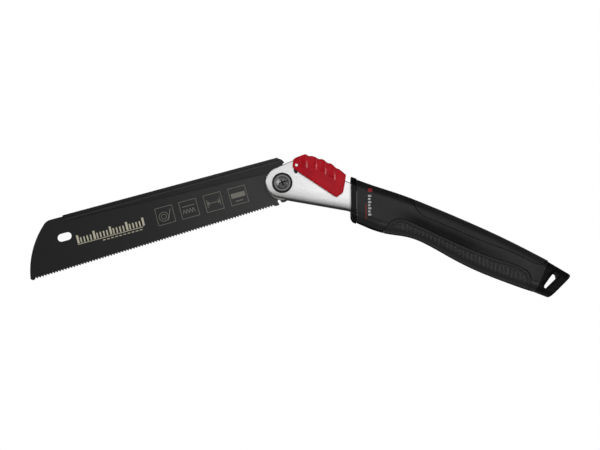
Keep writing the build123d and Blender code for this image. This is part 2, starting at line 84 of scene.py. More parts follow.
# ---- node graphs --------------------------------------------------------------------------------
class Graph:
    """A material's node tree, with short ways to add nodes and join them."""

    def __init__(self, name: str) -> None:
        """Make an empty material.

        Args:
            name: The material's name.
        """
        self.material = bpy.data.materials.new(name)
        self.material.use_nodes = True
        self.tree = self.material.node_tree
        self.tree.nodes.clear()
        self.output = self.tree.nodes.new("ShaderNodeOutputMaterial")
        self.shader = self.tree.nodes.new("ShaderNodeBsdfPrincipled")
        self.join(self.shader, "BSDF", self.output, "Surface")
        self.coordinates = self.tree.nodes.new("ShaderNodeTexCoord")

    def join(self, source: bpy.types.Node, out: str, target: bpy.types.Node, into: str) -> None:
        """Link one node's output to another's input."""
        self.tree.links.new(source.outputs[out], target.inputs[into])

    def set(self, **values: object) -> None:
        """Set sockets of the main shader by name, with underscores for spaces."""
        for key, value in values.items():
            self.shader.inputs[key.replace("_", " ")].default_value = value

    def mapping(self, scale: tuple[float, float, float], turn: float = 0.0) -> bpy.types.Node:
        """Object coordinates, turned about Y and then stretched.

        Args:
            scale: The stretch along X, Y and Z.
            turn: The angle about Y.

        Returns:
            The Mapping node.
        """
        turned = self.tree.nodes.new("ShaderNodeMapping")
        turned.inputs["Rotation"].default_value = (0, turn, 0)
        self.join(self.coordinates, "Object", turned, "Vector")
        node = self.tree.nodes.new("ShaderNodeMapping")
        node.inputs["Scale"].default_value = scale
        self.join(turned, "Vector", node, "Vector")
        return node

    def noise(self, scale: float, detail: float = 3.0, roughness: float = 0.5,
              mapping: bpy.types.Node | None = None) -> bpy.types.Node:
        """A noise texture on object coordinates."""
        node = self.tree.nodes.new("ShaderNodeTexNoise")
        node.inputs["Scale"].default_value = scale
        node.inputs["Detail"].default_value = detail
        node.inputs["Roughness"].default_value = roughness
        if mapping is None:
            self.join(self.coordinates, "Object", node, "Vector")
        else:
            self.join(mapping, "Vector", node, "Vector")
        return node

    def ramp(self, source: bpy.types.Node, out: str, stops: list[tuple[float, tuple]]) -> bpy.types.Node:
        """A colour ramp over another node's output."""
        node = self.tree.nodes.new("ShaderNodeValToRGB")
        elements = node.color_ramp.elements
        while len(elements) < len(stops):
            elements.new(0.5)
        for element, (place, colour) in zip(elements, stops):
            element.position = place
            element.color = colour
        self.join(source, out, node, "Fac")
        return node

    def spread(self, source: bpy.types.Node, out: str, low: float, high: float,
               from_low: float = 0.0, from_high: float = 1.0) -> bpy.types.Node:
        """A map-range node over another node's output."""
        node = self.tree.nodes.new("ShaderNodeMapRange")
        node.inputs["From Min"].default_value = from_low
        node.inputs["From Max"].default_value = from_high
        node.inputs["To Min"].default_value = low
        node.inputs["To Max"].default_value = high
        self.join(source, out, node, "Value")
        return node

    def bump(self, source: bpy.types.Node, out: str, strength: float, distance: float,
             under: bpy.types.Node | None = None) -> bpy.types.Node:
        """A bump node, over another bump node if there is one, joined to the shader."""
        node = self.tree.nodes.new("ShaderNodeBump")
        node.inputs["Strength"].default_value = strength
        node.inputs["Distance"].default_value = distance
        self.join(source, out, node, "Height")
        if under is not None:
            self.join(under, "Normal", node, "Normal")
        self.join(node, "Normal", self.shader, "Normal")
        return node

    def soft_edge(self, radius: float) -> bpy.types.Node:
        """A rounded look for sharp edges, for use under a bump node.

        Args:
            radius: The radius of the rounding.

        Returns:
            The Bevel node.
        """
        node = self.tree.nodes.new("ShaderNodeBevel")
        node.samples = 4
        node.inputs["Radius"].default_value = radius
        return node

    def parted(self, turn: float) -> bpy.types.Node:
        """Object coordinates, turned about Y and parted into X, Y and Z."""
        node = self.tree.nodes.new("ShaderNodeSeparateXYZ")
        self.join(self.mapping((1, 1, 1), turn), "Vector", node, "Vector")
        return node

    def math(self, operation: str, *values: bpy.types.NodeSocket | float) -> bpy.types.NodeSocket:
        """A math node over outputs and numbers, and its result."""
        node = self.tree.nodes.new("ShaderNodeMath")
        node.operation = operation
        for socket, value in zip(node.inputs, values):
            self.feed(value, socket)
        return node.outputs["Value"]

    def feed(self, value: bpy.types.NodeSocket | float | tuple, socket: bpy.types.NodeSocket) -> None:
        """Join an output to a socket, or set the socket's own value."""
        if isinstance(value, bpy.types.NodeSocket):
            self.tree.links.new(value, socket)
        else:
            socket.default_value = value

    def blend(self, under: bpy.types.NodeSocket | tuple, over: bpy.types.NodeSocket | tuple,
              cover: bpy.types.NodeSocket | float, mode: str = "MIX") -> bpy.types.NodeSocket:
        """Lay one colour over another.

        Args:
            under: The colour underneath.
            over: The colour on top.
            cover: How much of the top colour shows, from 0 to 1.
            mode: The way in which the two mix.

        Returns:
            The output with the blended colour.
        """
        node = self.tree.nodes.new("ShaderNodeMix")
        node.data_type = "RGBA"
        node.blend_type = mode
        self.feed(cover, node.inputs[0])
        self.feed(under, node.inputs[6])
        self.feed(over, node.inputs[7])
        return node.outputs[2]

    def colour(self, source: bpy.types.NodeSocket) -> None:
        """Join a colour to the main shader."""
        self.tree.links.new(source, self.shader.inputs["Base Color"])


def rgb(red: float, green: float, blue: float) -> tuple[float, float, float, float]:
    """An opaque colour."""
    return (red, green, blue, 1.0)


def lighter(colour: tuple, factor: float) -> tuple:
    """The colour scaled in brightness."""
    return rgb(*(min(1.0, c * factor) for c in colour[:3]))


def turned_pivot(turn: float) -> Vector:
    """Where the pivot lies in coordinates turned about Y."""
    return Matrix.Rotation(turn, 4, "Y") @ PIVOT


# ---- finishes -----------------------------------------------------------------------------------
SOLID_SHARE = 0.6       # the part of a band's half width that is solid


@dataclass(frozen=True)
class ToneLine:
    """A straight band of another tone along the blade.

    Heights are millimetres from the pivot in the blade's own frame.
    """

    height: float
    half: float
    tone: tuple
    slant: float = 0.0
    strength: float = 1.0


@dataclass(frozen=True)
class CoatedSteel:
    """Black low-friction coating on ground sheet: satin and faintly mottled, with painted light that makes
    it lighter towards one end.
    """

    name: str
    dark: tuple = rgb(0.013, 0.013, 0.014)
    light: tuple = rgb(0.040, 0.040, 0.041)
    roughness: float = 0.42
    turn: float = BLADE_DROP
    lines: tuple[ToneLine, ...] = ()
    metal: float = 0.15
    shine: float = 0.5
    fade: tuple[float, float] = (-0.26, 0.0)
    mottling: float = 0.25
    streak_scale: tuple[float, float, float] = (40.0, 900.0, 900.0)

    def line(self, g: Graph, base: bpy.types.NodeSocket, mark: ToneLine) -> bpy.types.NodeSocket:
        """Blend one straight band of another tone over a colour.

        Args:
            g: The graph.
            base: The colour underneath.
            mark: The band.

        Returns:
            The output with the blended colour.
        """
        turn = self.turn + mark.slant
        middle = turned_pivot(turn).z + mark.height * MM
        away = g.math("SUBTRACT", g.parted(turn).outputs["Z"], middle)
        reach = g.math("ABSOLUTE", away)
        half = mark.half * MM
        cover = g.spread(reach.node, "Value", mark.strength, 0.0, half * SOLID_SHARE, half)
        return g.blend(base, mark.tone, cover.outputs["Result"])

    def make(self) -> bpy.types.Material:
        """Build the material."""
        g = Graph(self.name)
        g.set(Metallic=self.metal, Specular_IOR_Level=self.shine)
        # Painted light: the colour ramps from dark at the toe to lighter towards the heel, standing in for
        # the brighter reflection there.
        place = g.spread(g.parted(self.turn), "X", 0.0, 1.0, *self.fade)
        stops = [(0.0, self.dark), (0.55, lighter(self.dark, 2.0)), (1.0, self.light)]
        base = g.ramp(place, "Result", stops).outputs["Color"]
        for mark in self.lines:
            base = self.line(g, base, mark)
        mottle = g.noise(900.0, 4.0)
        g.colour(g.blend(base, mottle.outputs["Color"], self.mottling, "OVERLAY"))
        streaks = g.noise(1.0, 3.0, 0.6, g.mapping(self.streak_scale, self.turn))
        rough = g.spread(streaks, "Fac", self.roughness - 0.05, self.roughness + 0.07, 0.3, 0.7)
        g.join(rough, "Result", g.shader, "Roughness")
        g.bump(g.noise(5200.0, 2.0), "Fac", 0.12, 0.00004, g.soft_edge(0.00015))
        return g.material


@dataclass(frozen=True)
class PlateMetal:
    """Satin plating on the pressed bracket, with painted shade: bright above and greyer along its lower
    edge.
    """

    name: str
    bright: tuple = rgb(1.0, 1.0, 1.0)
    grey: tuple = rgb(0.20, 0.19, 0.19)
    roughness: float = 0.3
    fall_turn: float = math.radians(-9.7)
    fall_start: float = -0.002
    fall_end: float = -0.0140
    metal: float = 0.85
    streak_scale: tuple[float, float, float] = (90.0, 2600.0, 2600.0)

    def make(self) -> bpy.types.Material:
        """Build the material."""
        g = Graph(self.name)
        g.set(Metallic=self.metal)
        # Painted shade: the colour falls from bright to grey towards the cheeks' lower edge.
        level = turned_pivot(self.fall_turn).z
        place = g.spread(g.parted(self.fall_turn), "Z", 0.0, 1.0,
                         level + self.fall_start, level + self.fall_end)
        stops = [(0.0, self.bright), (0.55, lighter(self.bright, 0.78)), (1.0, self.grey)]
        g.colour(g.ramp(place, "Result", stops).outputs["Color"])
        streaks = g.noise(1.0, 2.0, 0.5, g.mapping(self.streak_scale, -HANDLE_DROP))
        rough = g.spread(streaks, "Fac", self.roughness - 0.03, self.roughness + 0.04, 0.3, 0.7)
        g.join(rough, "Result", g.shader, "Roughness")
        g.bump(streaks, "Fac", 0.04, 0.000004, g.soft_edge(0.0005))
        return g.material


@dataclass(frozen=True)
class DomeSteel:
    """Worn bright steel of the pivot screw's dome, with painted shade in its recess and round its foot.

    Places are millimetres: the shade from the pivot, the recess's painted shade from the saw's middle plane.
    """

    name: str
    light: tuple = rgb(0.62, 0.62, 0.62)
    shade: tuple = rgb(0.07, 0.07, 0.07)
    recess_shade: tuple = rgb(0.008, 0.008, 0.008)
    roughness: float = 0.5
    turn: float = math.radians(35.0)
    shade_from: float = -1.2
    shade_to: float = 0.8
    recess_shade_front: float = -8.5
    recess_shade_floor: float = -8.1
    wear: float = 0.25

    def make(self) -> bpy.types.Material:
        """Build the material."""
        g = Graph(self.name)
        g.set(Metallic=1.0)
        split = g.parted(self.turn)
        level = turned_pivot(self.turn).z
        # Painted shade: the dome is dark below a slanted line through the pivot and bright above it.
        place = g.spread(split, "Z", 0.0, 1.0, level + self.shade_from * MM, level + self.shade_to * MM)
        tint = g.ramp(place, "Result", [(0.0, self.shade), (1.0, self.light)])
        scuff = g.noise(700.0, 3.0)
        worn = g.ramp(scuff, "Fac", [(0.35, self.shade), (0.6, self.light)])
        dome = g.blend(tint.outputs["Color"], worn.outputs["Color"], self.wear)
        # Painted shade: in the recess, deeper than the dome's face, the colour goes near black.
        depth = g.spread(split, "Y", 0.0, 1.0, self.recess_shade_front * MM, self.recess_shade_floor * MM)
        g.colour(g.blend(dome, self.recess_shade, depth.outputs["Result"]))
        g.set(Roughness=self.roughness)
        g.bump(scuff, "Fac", 0.2, 0.00002, g.soft_edge(0.0003))
        return g.material


@dataclass(frozen=True)
class Metal:
    """Bare or plated metal with drawn streaks."""

    name: str
    colour: tuple
    roughness: float
    streak: float = 0.05
    turn: float = -HANDLE_DROP
    bump_height: float = 0.00001

    def make(self) -> bpy.types.Material:
        """Build the material."""
        g = Graph(self.name)
        g.set(Metallic=1.0)
        drawn = g.mapping((60.0, 1400.0, 1400.0), self.turn)
        streaks = g.noise(1.0, 4.0, 0.65, drawn)
        cloud = g.noise(60.0, 2.0)
        tint = g.ramp(cloud, "Fac", [(0.3, lighter(self.colour, 0.93)), (0.7, self.colour)])
        g.join(tint, "Color", g.shader, "Base Color")
        rough = g.spread(streaks, "Fac", max(0.03, self.roughness - self.streak),
                         self.roughness + self.streak, 0.3, 0.7)
        g.join(rough, "Result", g.shader, "Roughness")
        g.bump(streaks, "Fac", 0.15, self.bump_height, g.soft_edge(0.0002))
        return g.material


@dataclass(frozen=True)
class Moulded:
    """Moulded plastic or elastomer with a spark-eroded grain."""

    name: str
    colour: tuple
    roughness: float
    grain_scale: float = 2600.0
    grain_height: float = 0.00003
    grain_strength: float = 0.3
    coat: float = 0.0
    sheen: float = 0.0
    edge: float = 0.0005
    shine: float = 0.5

    def make(self) -> bpy.types.Material:
        """Build the material."""
        g = Graph(self.name)
        g.set(Specular_IOR_Level=self.shine, Coat_Weight=self.coat, Coat_Roughness=0.08,
              Sheen_Weight=self.sheen)
        cloud = g.noise(90.0, 3.0)
        tint = g.ramp(cloud, "Fac", [(0.35, lighter(self.colour, 0.88)), (0.65, lighter(self.colour, 1.08))])
        g.join(tint, "Color", g.shader, "Base Color")
        rough = g.spread(cloud, "Fac", self.roughness - 0.03, self.roughness + 0.04, 0.3, 0.7)
        g.join(rough, "Result", g.shader, "Roughness")
        grain = g.noise(self.grain_scale, 2.0)
        g.bump(grain, "Fac", self.grain_strength, self.grain_height, g.soft_edge(self.edge))
        return g.material


@dataclass(frozen=True)
class ShellBlack:
    """Satin black of the handle shells, with painted shade: a little darker towards the top edge and over
    the lower pads, and less glossy there.

    Rise, waist and tail are millimetres in the handle's own frame: the heights that the bands of painted
    shade run between, and where along the handle they fade in and out.
    """

    name: str
    painted_shade_tone: tuple = rgb(0.006, 0.006, 0.006)
    plain: tuple = rgb(0.017, 0.017, 0.017)
    roughness: float = 0.36
    dull: float = 0.1
    gloss: float = 0.34
    rise: tuple[float, float] = (10.0, 40.0)
    waist: tuple[float, float] = (105.0, 132.0)
    tail: tuple[float, float] = (180.0, 240.0)

    def make(self) -> bpy.types.Material:
        """Build the material."""
        g = Graph(self.name)
        split = g.parted(-HANDLE_DROP)
        origin = turned_pivot(-HANDLE_DROP)
        low, high = (origin.z + h * MM for h in self.rise)
        height = g.spread(split, "Z", 0.0, 1.0, low, high)
        # Painted shade: darker bands of the same black near the top edge and above the lower pads.
        stops = [(0.0, self.plain), (0.15, self.painted_shade_tone), (0.3, self.painted_shade_tone),
                 (0.56, self.plain), (0.72, self.plain), (0.95, self.painted_shade_tone)]
        bands = g.ramp(height, "Result", stops)
        along = g.spread(split, "X", 0.0, 1.0, *(origin.x + x * MM for x in self.waist))
        after = g.spread(split, "X", 1.0, 0.0, *(origin.x + x * MM for x in self.tail))
        both = g.math("MULTIPLY", along.outputs["Result"], after.outputs["Result"])
        tint = g.blend(self.plain, bands.outputs["Color"], both)
        g.colour(tint)
        # The painted shade also dims the reflection: the specular level follows the tone.
        gleam = g.tree.nodes.new("ShaderNodeRGBToBW")
        g.feed(tint, gleam.inputs["Color"])
        level = g.spread(gleam, "Val", self.dull, self.gloss, self.painted_shade_tone[0], self.plain[0])
        g.join(level, "Result", g.shader, "Specular IOR Level")
        cloud = g.noise(90.0, 3.0)
        rough = g.spread(cloud, "Fac", self.roughness - 0.03, self.roughness + 0.04, 0.3, 0.7)
        g.join(rough, "Result", g.shader, "Roughness")
        g.bump(g.noise(2600.0, 2.0), "Fac", 0.25, 0.00003, g.soft_edge(0.0005))
        return g.material


@dataclass(frozen=True)
class PrintAndHighlightFilm:
    """Screen-printed ink, slightly uneven in cover; the same film also makes the collar's strip of painted
    highlight.
    """

    name: str
    colour: tuple

    def make(self) -> bpy.types.Material:
        """Build the material."""
        g = Graph(self.name)
        g.set(Roughness=0.55)
        cover = g.noise(2200.0, 3.0)
        tint = g.ramp(cover, "Fac", [(0.3, lighter(self.colour, 0.78)), (0.6, self.colour)])
        g.join(tint, "Color", g.shader, "Base Color")
        g.bump(cover, "Fac", 0.1, 0.00001)
        return g.material


Finish = CoatedSteel | PlateMetal | DomeSteel | Metal | Moulded | ShellBlack | PrintAndHighlightFilm
MADE: dict[str, bpy.types.Material] = {}


# ---- modelling helpers --------------------------------------------------------------------------
def deselect() -> None:
    """Leave nothing selected, in object mode."""
    if bpy.context.object and bpy.context.object.mode != "OBJECT":
        bpy.ops.object.mode_set(mode="OBJECT")
    bpy.ops.object.select_all(action="DESELECT")


def activate(piece: bpy.types.Object) -> None:
    """Select one piece alone and make it active."""
    deselect()
    piece.select_set(True)
    bpy.context.view_layer.objects.active = piece


def settle(piece: bpy.types.Object, place: Matrix) -> None:
    """Move a piece's mesh to its place and leave the object at the origin."""
    piece.data.transform(place @ piece.matrix_world)
    piece.matrix_world = Matrix.Identity(4)


def join_pieces(pieces: list[bpy.types.Object], name: str) -> bpy.types.Object:
    """Join several meshes into one named piece."""
    deselect()
    for piece in pieces:
        piece.select_set(True)
    bpy.context.view_layer.objects.active = pieces[0]
    if len(pieces) > 1:
        bpy.ops.object.join()
    pieces[0].name = name
    return pieces[0]


def apply_modifiers(piece: bpy.types.Object) -> None:
    """Apply every modifier in order."""
    activate(piece)
    for modifier in list(piece.modifiers):
        bpy.ops.object.modifier_apply(modifier=modifier.name)


def paint(piece: bpy.types.Object, material: bpy.types.Material) -> None:
    """Give a piece one material."""
    piece.data.materials.clear()
    piece.data.materials.append(material)


def made(finish: Finish) -> bpy.types.Material:
    """The finish's material, built the first time that it is asked for."""
    if finish.name not in MADE:
        MADE[finish.name] = finish.make()
    return MADE[finish.name]


def dress(finish: Finish, *names: str) -> None:
    """Give frame nodes a finish."""
    for name in names:
        paint(FRAME["nodes"][name], made(finish))
        LOG.info("dressed %s in %s", name, finish.name)


def copy_node(node: str, name: str) -> bpy.types.Object:
    """A merged copy of a frame node, free to be reshaped.

    Args:
        node: The frame node's name.
        name: The copy's name.

    Returns:
        The copy, in the same place.
    """
    piece = bpy.data.objects.new(name, FRAME["nodes"][node].data.copy())
    bpy.context.scene.collection.objects.link(piece)
    activate(piece)
    bpy.ops.mesh.customdata_custom_splitnormals_clear()
    bpy.ops.object.mode_set(mode="EDIT")
    bpy.ops.mesh.select_all(action="SELECT")
    bpy.ops.mesh.remove_doubles(threshold=0.00001)
    bpy.ops.object.mode_set(mode="OBJECT")
    return piece


def bar(x0: float, x1: float, z0: float, z1: float, y0: float, y1: float) -> bpy.types.Object:
    """A thin plain bar, from its limits in millimetres."""
    deselect()
    centre = ((x0 + x1) / 2 * MM, (y0 + y1) / 2 * MM, (z0 + z1) / 2 * MM)
    bpy.ops.mesh.primitive_cube_add(size=1, location=centre)
    piece = bpy.context.object
    piece.scale = (abs(x1 - x0) * MM, abs(y1 - y0) * MM, abs(z1 - z0) * MM)
    bpy.ops.object.transform_apply(location=True, rotation=False, scale=True)
    return piece


def finish_piece(piece: bpy.types.Object, finish: Finish, body: str) -> None:
    """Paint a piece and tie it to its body."""
    paint(piece, made(finish))
    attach(piece, body)
    LOG.info("built %s on %s", piece.name, body)


# ---- blade --------------------------------------------------------------------------------------
@dataclass
class BladePrint:
    """Plain printed marks on the blade: a graduated bar and four framed pictograms.

    Places are millimetres in the blade's own frame: X towards the heel, Z towards the spine.
    """

    face_y: float = -0.45
    film: float = 0.05
    line: float = 0.45
    ruler_start: float = -203.0
    ruler_end: float = -139.0
    ruler_low: float = -3.6
    ruler_step: float = 3.2
    tall_every: int = 5
    tall_tick: tuple[float, float] = (2.0, 8.0)
    short_tick: tuple[float, float] = (1.3, 5.4)
    dots: int = 10
    dot_pitch: float = 4.0
    dot_length: float = 2.6
    dot_inset: float = 24.0
    frame_size: float = 17.2
    frame_starts: tuple = (-124.6, -101.0, -76.7, -52.4)
    frame_low: float = -7.9

    def slab(self, x0: float, x1: float, z0: float, z1: float) -> bpy.types.Object:
        """One printed bar."""
        return bar(x0, x1, z0, z1, self.face_y - self.film, self.face_y + self.film / 2)

    def stroke(self, a: tuple[float, float], b: tuple[float, float], width: float) -> bpy.types.Object:
        """A printed stroke between two points."""
        length = math.hypot(b[0] - a[0], b[1] - a[1])
        piece = self.slab(-length / 2, length / 2, -width / 2, width / 2)
        turn = Matrix.Rotation(-math.atan2(b[1] - a[1], b[0] - a[0]), 4, "Y")
        middle = Vector(((a[0] + b[0]) / 2 * MM, 0, (a[1] + b[1]) / 2 * MM))
        piece.data.transform(Matrix.Translation(middle) @ turn)
        return piece

    def graduated_bar(self) -> list[bpy.types.Object]:
        """A baseline with thick and thin graduations above it and a dotted line below."""
        pieces = []
        low = self.ruler_low
        count = int((self.ruler_end - self.ruler_start) / self.ruler_step)
        for index in range(count + 1):
            x = self.ruler_start + index * self.ruler_step
            width, height = self.short_tick if index % self.tall_every else self.tall_tick
            pieces.append(self.slab(x, x + width, low, low + height))
        pieces.append(self.slab(self.ruler_start, self.ruler_end, low - 1.2, low - 0.6))
        for index in range(self.dots):
            x = self.ruler_start + self.dot_inset + index * self.dot_pitch
            pieces.append(self.slab(x, x + self.dot_length, low - 3.6, low - 2.8))
        return pieces

    def square_frame(self, x: float) -> list[bpy.types.Object]:
        """A thin square outline."""
        low, size, line = self.frame_low, self.frame_size, self.line
        return [
            self.slab(x, x + size, low, low + line),
            self.slab(x, x + size, low + size - line, low + size),
            self.slab(x, x + line, low + line, low + size - line),
            self.slab(x + size - line, x + size, low + line, low + size - line),
        ]

    def log_and_cut(self, x: float, z: float) -> list[bpy.types.Object]:
        """Two rings for a log's end, with a slanted cut beside them."""
        pieces = []
        facets = 12
        middle = (x + 7.0, z + 7.6)
        for index in range(facets):
            turns = [math.tau * (index + end) / facets for end in (0, 1)]
            for radius in (4.6, 2.4):
                ends = [(middle[0] + radius * math.cos(turn), middle[1] + radius * math.sin(turn))
                        for turn in turns]
                pieces.append(self.stroke(*ends, 0.5))
        pieces.append(self.stroke((x + 10.6, z + 3.0), (x + 14.6, z + 13.6), 0.6))
        return pieces

    def tooth_row(self, x: float, z: float) -> list[bpy.types.Object]:
        """Four teeth under a straight line."""
        pieces = []
        pitch, root, tip, width = 3.0, z + 4.6, z + 9.0, 0.55
        for index in range(4):
            start = x + 2.3 + index * pitch
            pieces.append(self.stroke((start, root), (start + 1.1, tip), width))
            pieces.append(self.stroke((start + 1.1, tip), (start + pitch, root), width))
        pieces.append(self.slab(x + 2.3, x + 14.3, z + 11.4, z + 12.0))
        return pieces

    def span_arrow(self, x: float, z: float) -> list[bpy.types.Object]:
        """An arrow with a head and an end line at both ends."""
        inset, head = 2.4, 2.2
        left, right = x + inset, x + self.frame_size - inset
        pieces = [self.slab(left, right, z + 8.0, z + 8.6)]
        for side, tip in ((1, left), (-1, right)):
            pieces.append(self.stroke((tip, z + 8.3), (tip + side * head, z + 10.1), 0.6))
            pieces.append(self.stroke((tip, z + 8.3), (tip + side * head, z + 6.5), 0.6))
            pieces.append(self.slab(tip - side * 0.3, tip + side * 0.3, z + 4.4, z + 12.2))
        return pieces

    def tone_band(self, x: float, z: float) -> list[bpy.types.Object]:
        """A solid band with a short line below it."""
        end = x + self.frame_size
        return [
            self.slab(x + 1.8, end - 1.8, z + 6.8, z + 11.6),
            self.slab(x + 5.0, end - 5.0, z + 3.2, z + 4.0),
        ]

    def build(self, bright: PrintAndHighlightFilm, faint: PrintAndHighlightFilm) -> None:
        """Print everything on the front of the blade."""
        ruler = join_pieces(self.graduated_bar(), "blade_ruler")
        settle(ruler, TO_BLADE)
        finish_piece(ruler, bright, "blade")
        pieces = []
        drawings = (self.log_and_cut, self.tooth_row, self.span_arrow, self.tone_band)
        for draw, x in zip(drawings, self.frame_starts):
            pieces += draw(x, self.frame_low)
        for x in self.frame_starts:
            pieces += self.square_frame(x)
        frames = join_pieces(pieces, "blade_pictograms")
        settle(frames, TO_BLADE)
        finish_piece(frames, faint, "blade")


# ---- handle -------------------------------------------------------------------------------------
def span_at(x: float, outline: list[tuple[float, float]]) -> tuple[float, float] | None:
    """The lowest and highest points of a closed outline on an upright line.

    Args:
        x: Where the line is.
        outline: The outline's corners, as X and Z.

    Returns:
        The two heights, or None where the line misses the outline.
    """
    crossings = []
    for (x0, z0), (x1, z1) in zip(outline, outline[1:] + outline[:1]):
        if (x0 - x) * (x1 - x) <= 0 and x0 != x1:
            crossings.append(z0 + (z1 - z0) * (x - x0) / (x1 - x0))
    if len(crossings) < 2:
        return None
    return min(crossings), max(crossings)


@dataclass
class GripRibs:
    """Raised upright ribs on the lower soft pads.

    Places are millimetres in the handle's own frame, except the pitch and width, which run level.
    """

    first: float = 95.2
    pitch: float = 3.75
    width: float = 1.3
    proud: float = 0.4
    near_y: float = 2.0
    far_y: float = 20.0
    upper: tuple = ((113.0, 8.4), (119.0, 11.4), (130.0, 11.2), (150.0, 11.6), (188.0, 10.3), (220.0, 12.8),
                    (238.0, 13.6), (245.6, 11.2), (248.6, 6.4))
    lower: tuple = ((247.4, 6.2), (228.0, 4.2), (203.0, 3.4), (180.0, 4.2), (160.0, 6.0), (142.0, 7.0),
                    (126.0, 4.4), (114.0, 2.0))

    def build(self, side: Side, target: str, finish: Finish) -> None:
        """Raise the ribs out of a swollen copy of one pad."""
        outline = []
        for x, z in self.upper + self.lower:
            point = TO_HANDLE @ Vector((x * MM, 0, z * MM))
            outline.append((point.x / MM, point.z / MM))
        start = max(self.first, min(x for x, _ in outline))
        end = max(x for x, _ in outline)
        slats = []
        for index in range(int((end - start) / self.pitch)):
            x = start + (index + 0.5) * self.pitch
            spans = [span_at(place, outline) for place in (x, x + self.width)]
            if None in spans:
                continue
            low = max(span[0] for span in spans)
            high = min(span[1] for span in spans)
            if high - low < self.width:
                continue
            near, far = sorted((side.value * self.near_y, side.value * self.far_y))
            slats.append(bar(x, x + self.width, low, high, near, far))
        comb = join_pieces(slats, "rib_comb")
        ribs = copy_node(target, f"grip_ribs_{side.name.lower()}")
        swell = ribs.modifiers.new("swell", "DISPLACE")
        swell.strength = self.proud * MM
        swell.mid_level = 0.0
        cut = ribs.modifiers.new("cut", "BOOLEAN")
        cut.operation = "INTERSECT"
        cut.solver = "EXACT"
        cut.use_self = True
        cut.object = comb
        apply_modifiers(ribs)
        bpy.data.objects.remove(comb)
        finish_piece(ribs, finish, "handle")


@dataclass
class HandleMark:
    """A plain printed mark behind the collar, and a thin raised strip of painted highlight on the collar.

    The mark is a red bar, a red line and a column of white dashes.

    Places are millimetres in the row frame.
    """

    line_x: float = 62.6
    dash_x: float = 65.0
    highlight_strip_x: float = 54.0
    top: float = 97.0
    bottom: float = 76.0
    dashes: int = 7
    long_dash: float = 3.0
    short_dash: float = 2.2
    dash_share: float = 0.62
    film: float = 0.04
    stand_off: float = 20.0

    def patch(self, x0: float, x1: float, z0: float, z1: float) -> bpy.types.Object:
        """A flat patch in front of the handle, ready to be laid on it."""
        deselect()
        bpy.ops.mesh.primitive_grid_add(x_subdivisions=3, y_subdivisions=8, size=1)
        piece = bpy.context.object
        piece.data.transform(Matrix.Diagonal(((x1 - x0) * MM, (z1 - z0) * MM, 1, 1)))
        piece.data.transform(Matrix.Rotation(math.radians(90), 4, "X"))
        middle = Vector(((x0 + x1) / 2, -self.stand_off, (z0 + z1) / 2)) * MM
        piece.data.transform(Matrix.Translation(middle))
        return piece

    def lay(self, pieces: list[bpy.types.Object], name: str, finish: Finish, target: str,
            slot: str) -> None:
        """Lay patches on the front of a CAD node and give them a film's thickness.

        Args:
            pieces: The patches, standing in front of the handle.
            name: Name of the joined piece.
            finish: Its finish.
            target: The node it lies on.
            slot: That node's material slot. Not used.
        """
        mark = join_pieces(pieces, name)
        wrap = mark.modifiers.new("lay", "SHRINKWRAP")
        wrap.target = FRAME["nodes"][target]
        wrap.wrap_method = "PROJECT"
        wrap.use_project_y = True
        wrap.use_negative_direction = True
        wrap.use_positive_direction = True
        film = mark.modifiers.new("film", "SOLIDIFY")
        film.thickness = self.film * MM
        film.offset = 1.0
        apply_modifiers(mark)
        finish_piece(mark, finish, "handle")

    def build(self, red: PrintAndHighlightFilm, white: PrintAndHighlightFilm, highlight_strip: PrintAndHighlightFilm) -> None:
        """Print the mark and lay the thin raised strip of painted highlight on the collar."""
        # Painted highlight: this strip stands where the collar's edge catches the light.
        self.lay([self.patch(self.highlight_strip_x, self.highlight_strip_x + 0.6, self.bottom - 2.6, self.top + 2.4)],
                 "collar_highlight_strip", highlight_strip, "front_collar", "collar_plastic")
        reds = [self.patch(self.line_x, self.line_x + 0.7, self.bottom - 3.6, self.top - 9.5),
                self.patch(self.dash_x, self.dash_x + 4.0, self.top + 1.8, self.top + 5.4)]
        self.lay(reds, "handle_mark_red", red, "handle_shell_front", "hard_grip")
        step = (self.top - self.bottom) / self.dashes
        whites = []
        for index in range(self.dashes):
            low = self.bottom + index * step
            reach = self.short_dash if index % 2 else self.long_dash
            whites.append(self.patch(self.dash_x, self.dash_x + reach, low, low + step * self.dash_share))
        self.lay(whites, "handle_mark_white", white, "handle_shell_front", "hard_grip")


